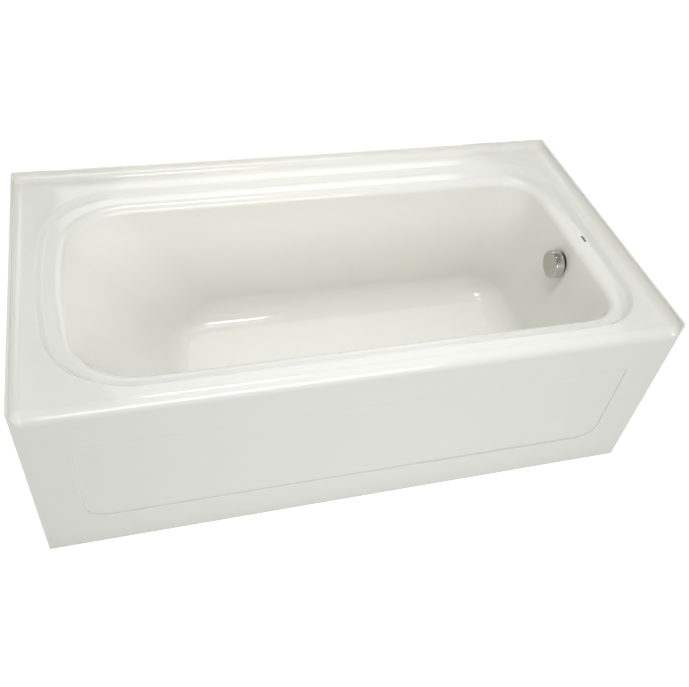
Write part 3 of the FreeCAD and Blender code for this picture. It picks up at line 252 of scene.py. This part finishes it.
def moulded(name, hex_value, roughness, ior, grain):
    """Injection-moulded plastic: an even colour with the fine eroded texture of the mould.

    The texture is drawn coarser than the real one, so that it shows.
    """
    material, tree, shader, place = new_material(name)
    grain_depth = 0.1 * MM
    texture = add(tree, "ShaderNodeTexNoise", {"Scale": 1 / grain, "Detail": 2.0},
                  Vector=(place, "Object"))
    bump = add(tree, "ShaderNodeBump", {"Strength": 0.25, "Distance": grain_depth},
               Height=(texture, "Fac"))
    wear = add(tree, "ShaderNodeMapRange",
               {"To Min": roughness - 0.05, "To Max": roughness + 0.08},
               Value=(texture, "Fac"))
    tree.links.new(wear.outputs["Result"], shader.inputs["Roughness"])
    tree.links.new(bump.outputs["Normal"], shader.inputs["Normal"])
    shader.inputs["Base Color"].default_value = colour(hex_value)
    shader.inputs["IOR"].default_value = ior
    return material


def turned_metal(name, hex_value, roughness):
    """Bar stock turned on a lathe, with fine tool marks and a slight tarnish.

    The tool marks are drawn coarser than real ones, so that they show.
    """
    material, tree, shader, place = new_material(name)
    pitch, mark_depth, tarnish_size = 0.6 * MM, 0.05 * MM, 12 * MM
    marks = add(tree, "ShaderNodeTexNoise", {"Scale": 1 / pitch, "Detail": 1.0},
                Vector=(place, "Object"))
    tarnish = add(tree, "ShaderNodeTexNoise", {"Scale": 1 / tarnish_size, "Detail": 3.0},
                  Vector=(place, "Object"))
    dull = add(tree, "ShaderNodeMapRange",
               {"To Min": roughness - 0.08, "To Max": roughness + 0.12},
               Value=(tarnish, "Fac"))
    bump = add(tree, "ShaderNodeBump", {"Strength": 0.15, "Distance": mark_depth},
               Height=(marks, "Fac"))
    tree.links.new(dull.outputs["Result"], shader.inputs["Roughness"])
    tree.links.new(bump.outputs["Normal"], shader.inputs["Normal"])
    shader.inputs["Base Color"].default_value = colour(hex_value)
    shader.inputs["Metallic"].default_value = 1.0
    return material


ACRYLIC = acrylic()
BUFFED_CHROME = plated("chrome plate over buffed zinc", "#C6C6C1", 0.05, 0.20, 5 * MM)
CHROME = plated("polished chrome plate", "#D2D4D4", 0.04, 0.09, 9 * MM)
BACKING_RESIN = glass_fibre()
BLACK_ABS = moulded("black ABS, moulded", "#1B1C1E", 0.38, 1.54, 1.2 * MM)
WHITE_ACETAL = moulded("natural acetal, moulded", "#E3E1D8", 0.42, 1.48, 1.0 * MM)
RUBBER = moulded("moulded black rubber", "#1C1C1B", 0.72, 1.52, 0.8 * MM)
BRASS = turned_metal("turned brass", "#C9A45C", 0.30)
STEEL = turned_metal("stainless steel", "#B4B5B6", 0.28)

NODE_MATERIALS = {
    "tub_shell": ACRYLIC,
    "overflow_knob": BUFFED_CHROME,
    "drain_body": CHROME,
    "stopper_cap": CHROME,
    "overflow_elbow": BLACK_ABS,
    "overflow_pipe": BLACK_ABS,
    "waste_tee": BLACK_ABS,
    "slip_nuts": BLACK_ABS,
    "drain_shoe": BLACK_ABS,
    "cable_sheath": BLACK_ABS,
    "overflow_retainer": WHITE_ACETAL,
    "slip_washers": WHITE_ACETAL,
    "spindle_drum": WHITE_ACETAL,
    "overflow_seal": RUBBER,
    "overflow_gasket": RUBBER,
    "drain_gasket": RUBBER,
    "stopper_seal": RUBBER,
    "knob_set_screw": STEEL,
    "knob_spindle": BRASS,
    "stopper_stem": BRASS,
    "lift_rocker": BRASS,
    "rocker_pin": BRASS,
    "cable_ferrules": BRASS,
}


def dress_nodes():
    """Give each CAD node its material; the timber and the board get theirs as sawn pieces."""
    for node, material in NODE_MATERIALS.items():
        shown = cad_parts[node]
        shown.data.materials.clear()
        shown.data.materials.append(material)


# ------------------------------------------------------------ pieces

def piece_from(node):
    """A bmesh copy of a CAD node with its loose triangles merged."""
    mesh = bmesh.new()
    mesh.from_mesh(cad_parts[node].data)
    bmesh.ops.remove_doubles(mesh, verts=mesh.verts, dist=LOOSE)
    return mesh


def round_edges(mesh, edges, offset, segments):
    bmesh.ops.bevel(mesh, geom=edges, offset=offset, offset_type="OFFSET", affect="EDGES",
                    segments=segments, profile=0.5, material=-1)


def finish_piece(mesh, name, material, smooth=False):
    """Make a bmesh a piece of the scene that stays with the tub."""
    data = bpy.data.meshes.new(name)
    mesh.to_mesh(data)
    mesh.free()
    for face in data.polygons:
        face.use_smooth = smooth
    data.materials.append(material)
    piece = bpy.data.objects.new(name, data)
    bpy.context.scene.collection.objects.link(piece)
    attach(piece, "tub")
    return piece


def sawn_timber(node, material):
    """Timber with the arrises taken off, in place of the CAD block."""
    mesh = piece_from(node)
    flat = math.radians(2)
    bmesh.ops.dissolve_limit(mesh, angle_limit=flat, verts=mesh.verts, edges=mesh.edges)
    round_edges(mesh, mesh.edges[:], SAWN_EDGE, 2)
    piece = finish_piece(mesh, f"{node}_sawn", material)
    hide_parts(node)


def all_timber():
    """The board and the sawn softwood; each piece has its own turn of the grain and its own pith."""
    quarter = math.pi / 2
    along = (0, 0, 0)
    across = (0, 0, quarter)
    upright = (0, quarter, 0)
    sawn_timber("base_board", particle_board())
    plans = (
        ("base_feet", across, 0.05), ("batten_back", along, 0.03), ("batten_front", along, 0.03),
        ("batten_head", across, 0.03), ("batten_foot", across, 0.03),
        ("apron_rail", along, 0.02), ("apron_posts", upright, 0.02),
    )
    for node, turn, off_centre in plans:
        low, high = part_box(node)
        pith = (low + high) / 2 + Vector((off_centre, -off_centre, -off_centre))
        sawn_timber(node, pine(f"sawn pine, {node}", turn, pith))


def blank_plate():
    """The small bare plate on the ledge over the knob: a slip of plated metal with a dished face."""
    width, length, thick, corner = 6.4 * MM, 25 * MM, 0.9 * MM, 2 * MM
    rim_round, rim_width, dish = 0.3 * MM, 0.5 * MM, 0.25 * MM
    centre_x, centre_y, bedded = 699.3 * MM, -22 * MM, 0.05 * MM
    mesh = bmesh.new()
    bmesh.ops.create_cube(mesh, size=1, matrix=Matrix.Diagonal((width, length, thick, 1)))
    upright = [edge for edge in mesh.edges
               if abs(edge.verts[0].co.z - edge.verts[1].co.z) > thick / 2]
    round_edges(mesh, upright, corner, 5)
    top = max(mesh.faces, key=lambda f: f.calc_center_median().z)
    round_edges(mesh, top.edges[:], rim_round, 3)
    top = max(mesh.faces, key=lambda f: f.calc_area() * (f.normal.z > 0.9))
    bmesh.ops.inset_region(mesh, faces=[top], thickness=rim_width, depth=-dish)
    place = (centre_x, centre_y, LEDGE_TOP + thick / 2 - bedded)
    bmesh.ops.translate(mesh, verts=mesh.verts, vec=place)
    finish_piece(mesh, "blank_ledge_plate", BUFFED_CHROME)


def is_backing(face):
    """True on the hidden side of the shell.

    That is the undersides, the outside of the well and the back of the apron.
    """
    apron_face, apron_skin, apron_reach = CAD_BOX[0].y, 4.6 * MM, 20 * MM
    foot_edge, slack = 1 * MM, 0.1 * MM
    two_degrees, sixty_degrees = 0.03, 0.5
    centre, normal = face.calc_center_median(), face.normal
    behind_apron = centre.y > apron_face + apron_skin
    above_floor = centre.z > foot_edge
    below_deck = centre.z < DECK_TOP - WALL + slack
    faces_down = normal.z < -two_degrees
    apron_back = centre.y < apron_face + apron_reach and normal.y > sixty_degrees
    return above_floor and below_deck and behind_apron and (faces_down or apron_back)


def glass_backing():
    """The rolled glass-fibre coat on the hidden side of the shell."""
    mesh = piece_from("tub_shell")
    mesh.normal_update()
    show = [face for face in mesh.faces if not is_backing(face)]
    bmesh.ops.delete(mesh, geom=show, context="FACES")
    mesh.normal_update()
    for vertex in mesh.verts:
        vertex.co += vertex.normal * BACKING
    bmesh.ops.solidify(mesh, geom=mesh.faces[:], thickness=-BACKING)
    finish_piece(mesh, "glass_fibre_backing", BACKING_RESIN, smooth=True)


# ------------------------------------------------------------ studio

def camera():
    """Stands where the photograph was taken: in front of the head end, looking down into the well.

    Its place (metres), turn (radians), lens (millimetres) and shift were solved from the corners of
    the flange, the deck and the foot of the apron.
    """
    data = bpy.data.cameras.new("camera")
    data.sensor_width = 36
    data.lens = 40.90
    data.shift_x = 0.01625
    data.shift_y = 0.02437
    view = bpy.data.objects.new("camera", data)
    view.location = (-0.4923, -1.4578, 1.7310)
    view.rotation_euler = (0.7524, -0.0901, -0.2531)
    bpy.context.scene.collection.objects.link(view)
    bpy.context.scene.camera = view


def studio_floor():
    """Pale floor that keeps the shadow; what the camera or a mirror sees of it is near white."""
    reach, under_feet, lifted = 60, 0.2 * MM, 0.82
    mesh = bmesh.new()
    bmesh.ops.create_grid(mesh, x_segments=1, y_segments=1, size=reach)
    data = bpy.data.meshes.new("studio_floor")
    mesh.to_mesh(data)
    mesh.free()
    floor = bpy.data.objects.new("studio_floor", data)
    floor.location.z = -under_feet
    bpy.context.scene.collection.objects.link(floor)
    material = bpy.data.materials.new("pale studio floor")
    material.use_nodes = True
    tree = material.node_tree
    tree.nodes.clear()
    seen = add(tree, "ShaderNodeLightPath")
    either = add(tree, "ShaderNodeMath", {"operation": "MAXIMUM"},
                 i0=(seen, "Is Camera Ray"), i1=(seen, "Is Glossy Ray"))
    lift = add(tree, "ShaderNodeMath", {"operation": "MULTIPLY", 1: lifted}, i0=(either, "Value"))
    paint = add(tree, "ShaderNodeBsdfDiffuse", {"Color": colour("#C4C4C2")})
    glow = add(tree, "ShaderNodeEmission", {"Color": (1, 1, 1, 1)}, Strength=(lift, "Value"))
    both = add(tree, "ShaderNodeAddShader", i0=(paint, "BSDF"), i1=(glow, "Emission"))
    add(tree, "ShaderNodeOutputMaterial", Surface=(both, "Shader"))
    data.materials.append(material)


def studio_air():
    """Even pale surroundings: white to the camera alone, dimmer as a light and in the gloss."""
    as_light = 0.335
    world = bpy.data.worlds.new("studio")
    bpy.context.scene.world = world
    world.use_nodes = True
    tree = world.node_tree
    tree.nodes.clear()
    seen = add(tree, "ShaderNodeLightPath")
    level = add(tree, "ShaderNodeMapRange", {"To Min": as_light, "To Max": 1.0},
                Value=(seen, "Is Camera Ray"))
    air = add(tree, "ShaderNodeBackground", {"Color": (1, 1, 1, 1)}, Strength=(level, "Result"))
    add(tree, "ShaderNodeOutputWorld", Surface=(air, "Background"))


def softbox(name, place, aim, width, depth, power, spread):
    """A rectangular lamp, in metres and watts.

    A grid in front of it keeps the light within the spread, in degrees.
    """
    data = bpy.data.lights.new(name, "AREA")
    data.shape = "RECTANGLE"
    data.size = width
    data.size_y = depth
    data.energy = power
    data.spread = math.radians(spread)
    lamp = bpy.data.objects.new(name, data)
    lamp.location = place
    lamp.rotation_euler = (Vector(aim) - Vector(place)).to_track_quat("-Z", "Y").to_euler()
    bpy.context.scene.collection.objects.link(lamp)
    return lamp


def studio_lamps():
    """A pair over the well, wide ones in front and behind, and a weak one at the foot end.

    Of the pair overhead only the smaller shows in the gloss, as the thin line where the floor
    turns up. The wide ones light the walls and show as the broad pale sheen.
    """
    softbox("overhead_lamp", (0.0, -0.05, 4.0), (0.0, -0.05, 0.2), 1.0, 0.6, 2.1, 43)
    deep = softbox("overhead_softbox", (0.03, -0.05, 4.0), (0.03, -0.05, 0.2), 1.5, 0.9, 4.2, 50)
    deep.visible_glossy = False
    softbox("front_softbox", (0.05, -2.8, 1.45), (0.05, 0, 0.35), 2.2, 1.1, 19, 130)
    softbox("rear_softbox", (0.30, 2.2, 1.95), (0, 0, 0.4), 2.3, 0.9, 11.5, 180)
    softbox("foot_softbox", (3.0, 0.2, 1.2), (0.3, 0, 0.3), 1.6, 1.0, 5, 180)


dress_nodes()
all_timber()
glass_backing()
blank_plate()
camera()
studio_floor()
studio_air()
studio_lamps()

bpy.context.scene.view_settings.view_transform = "Standard"
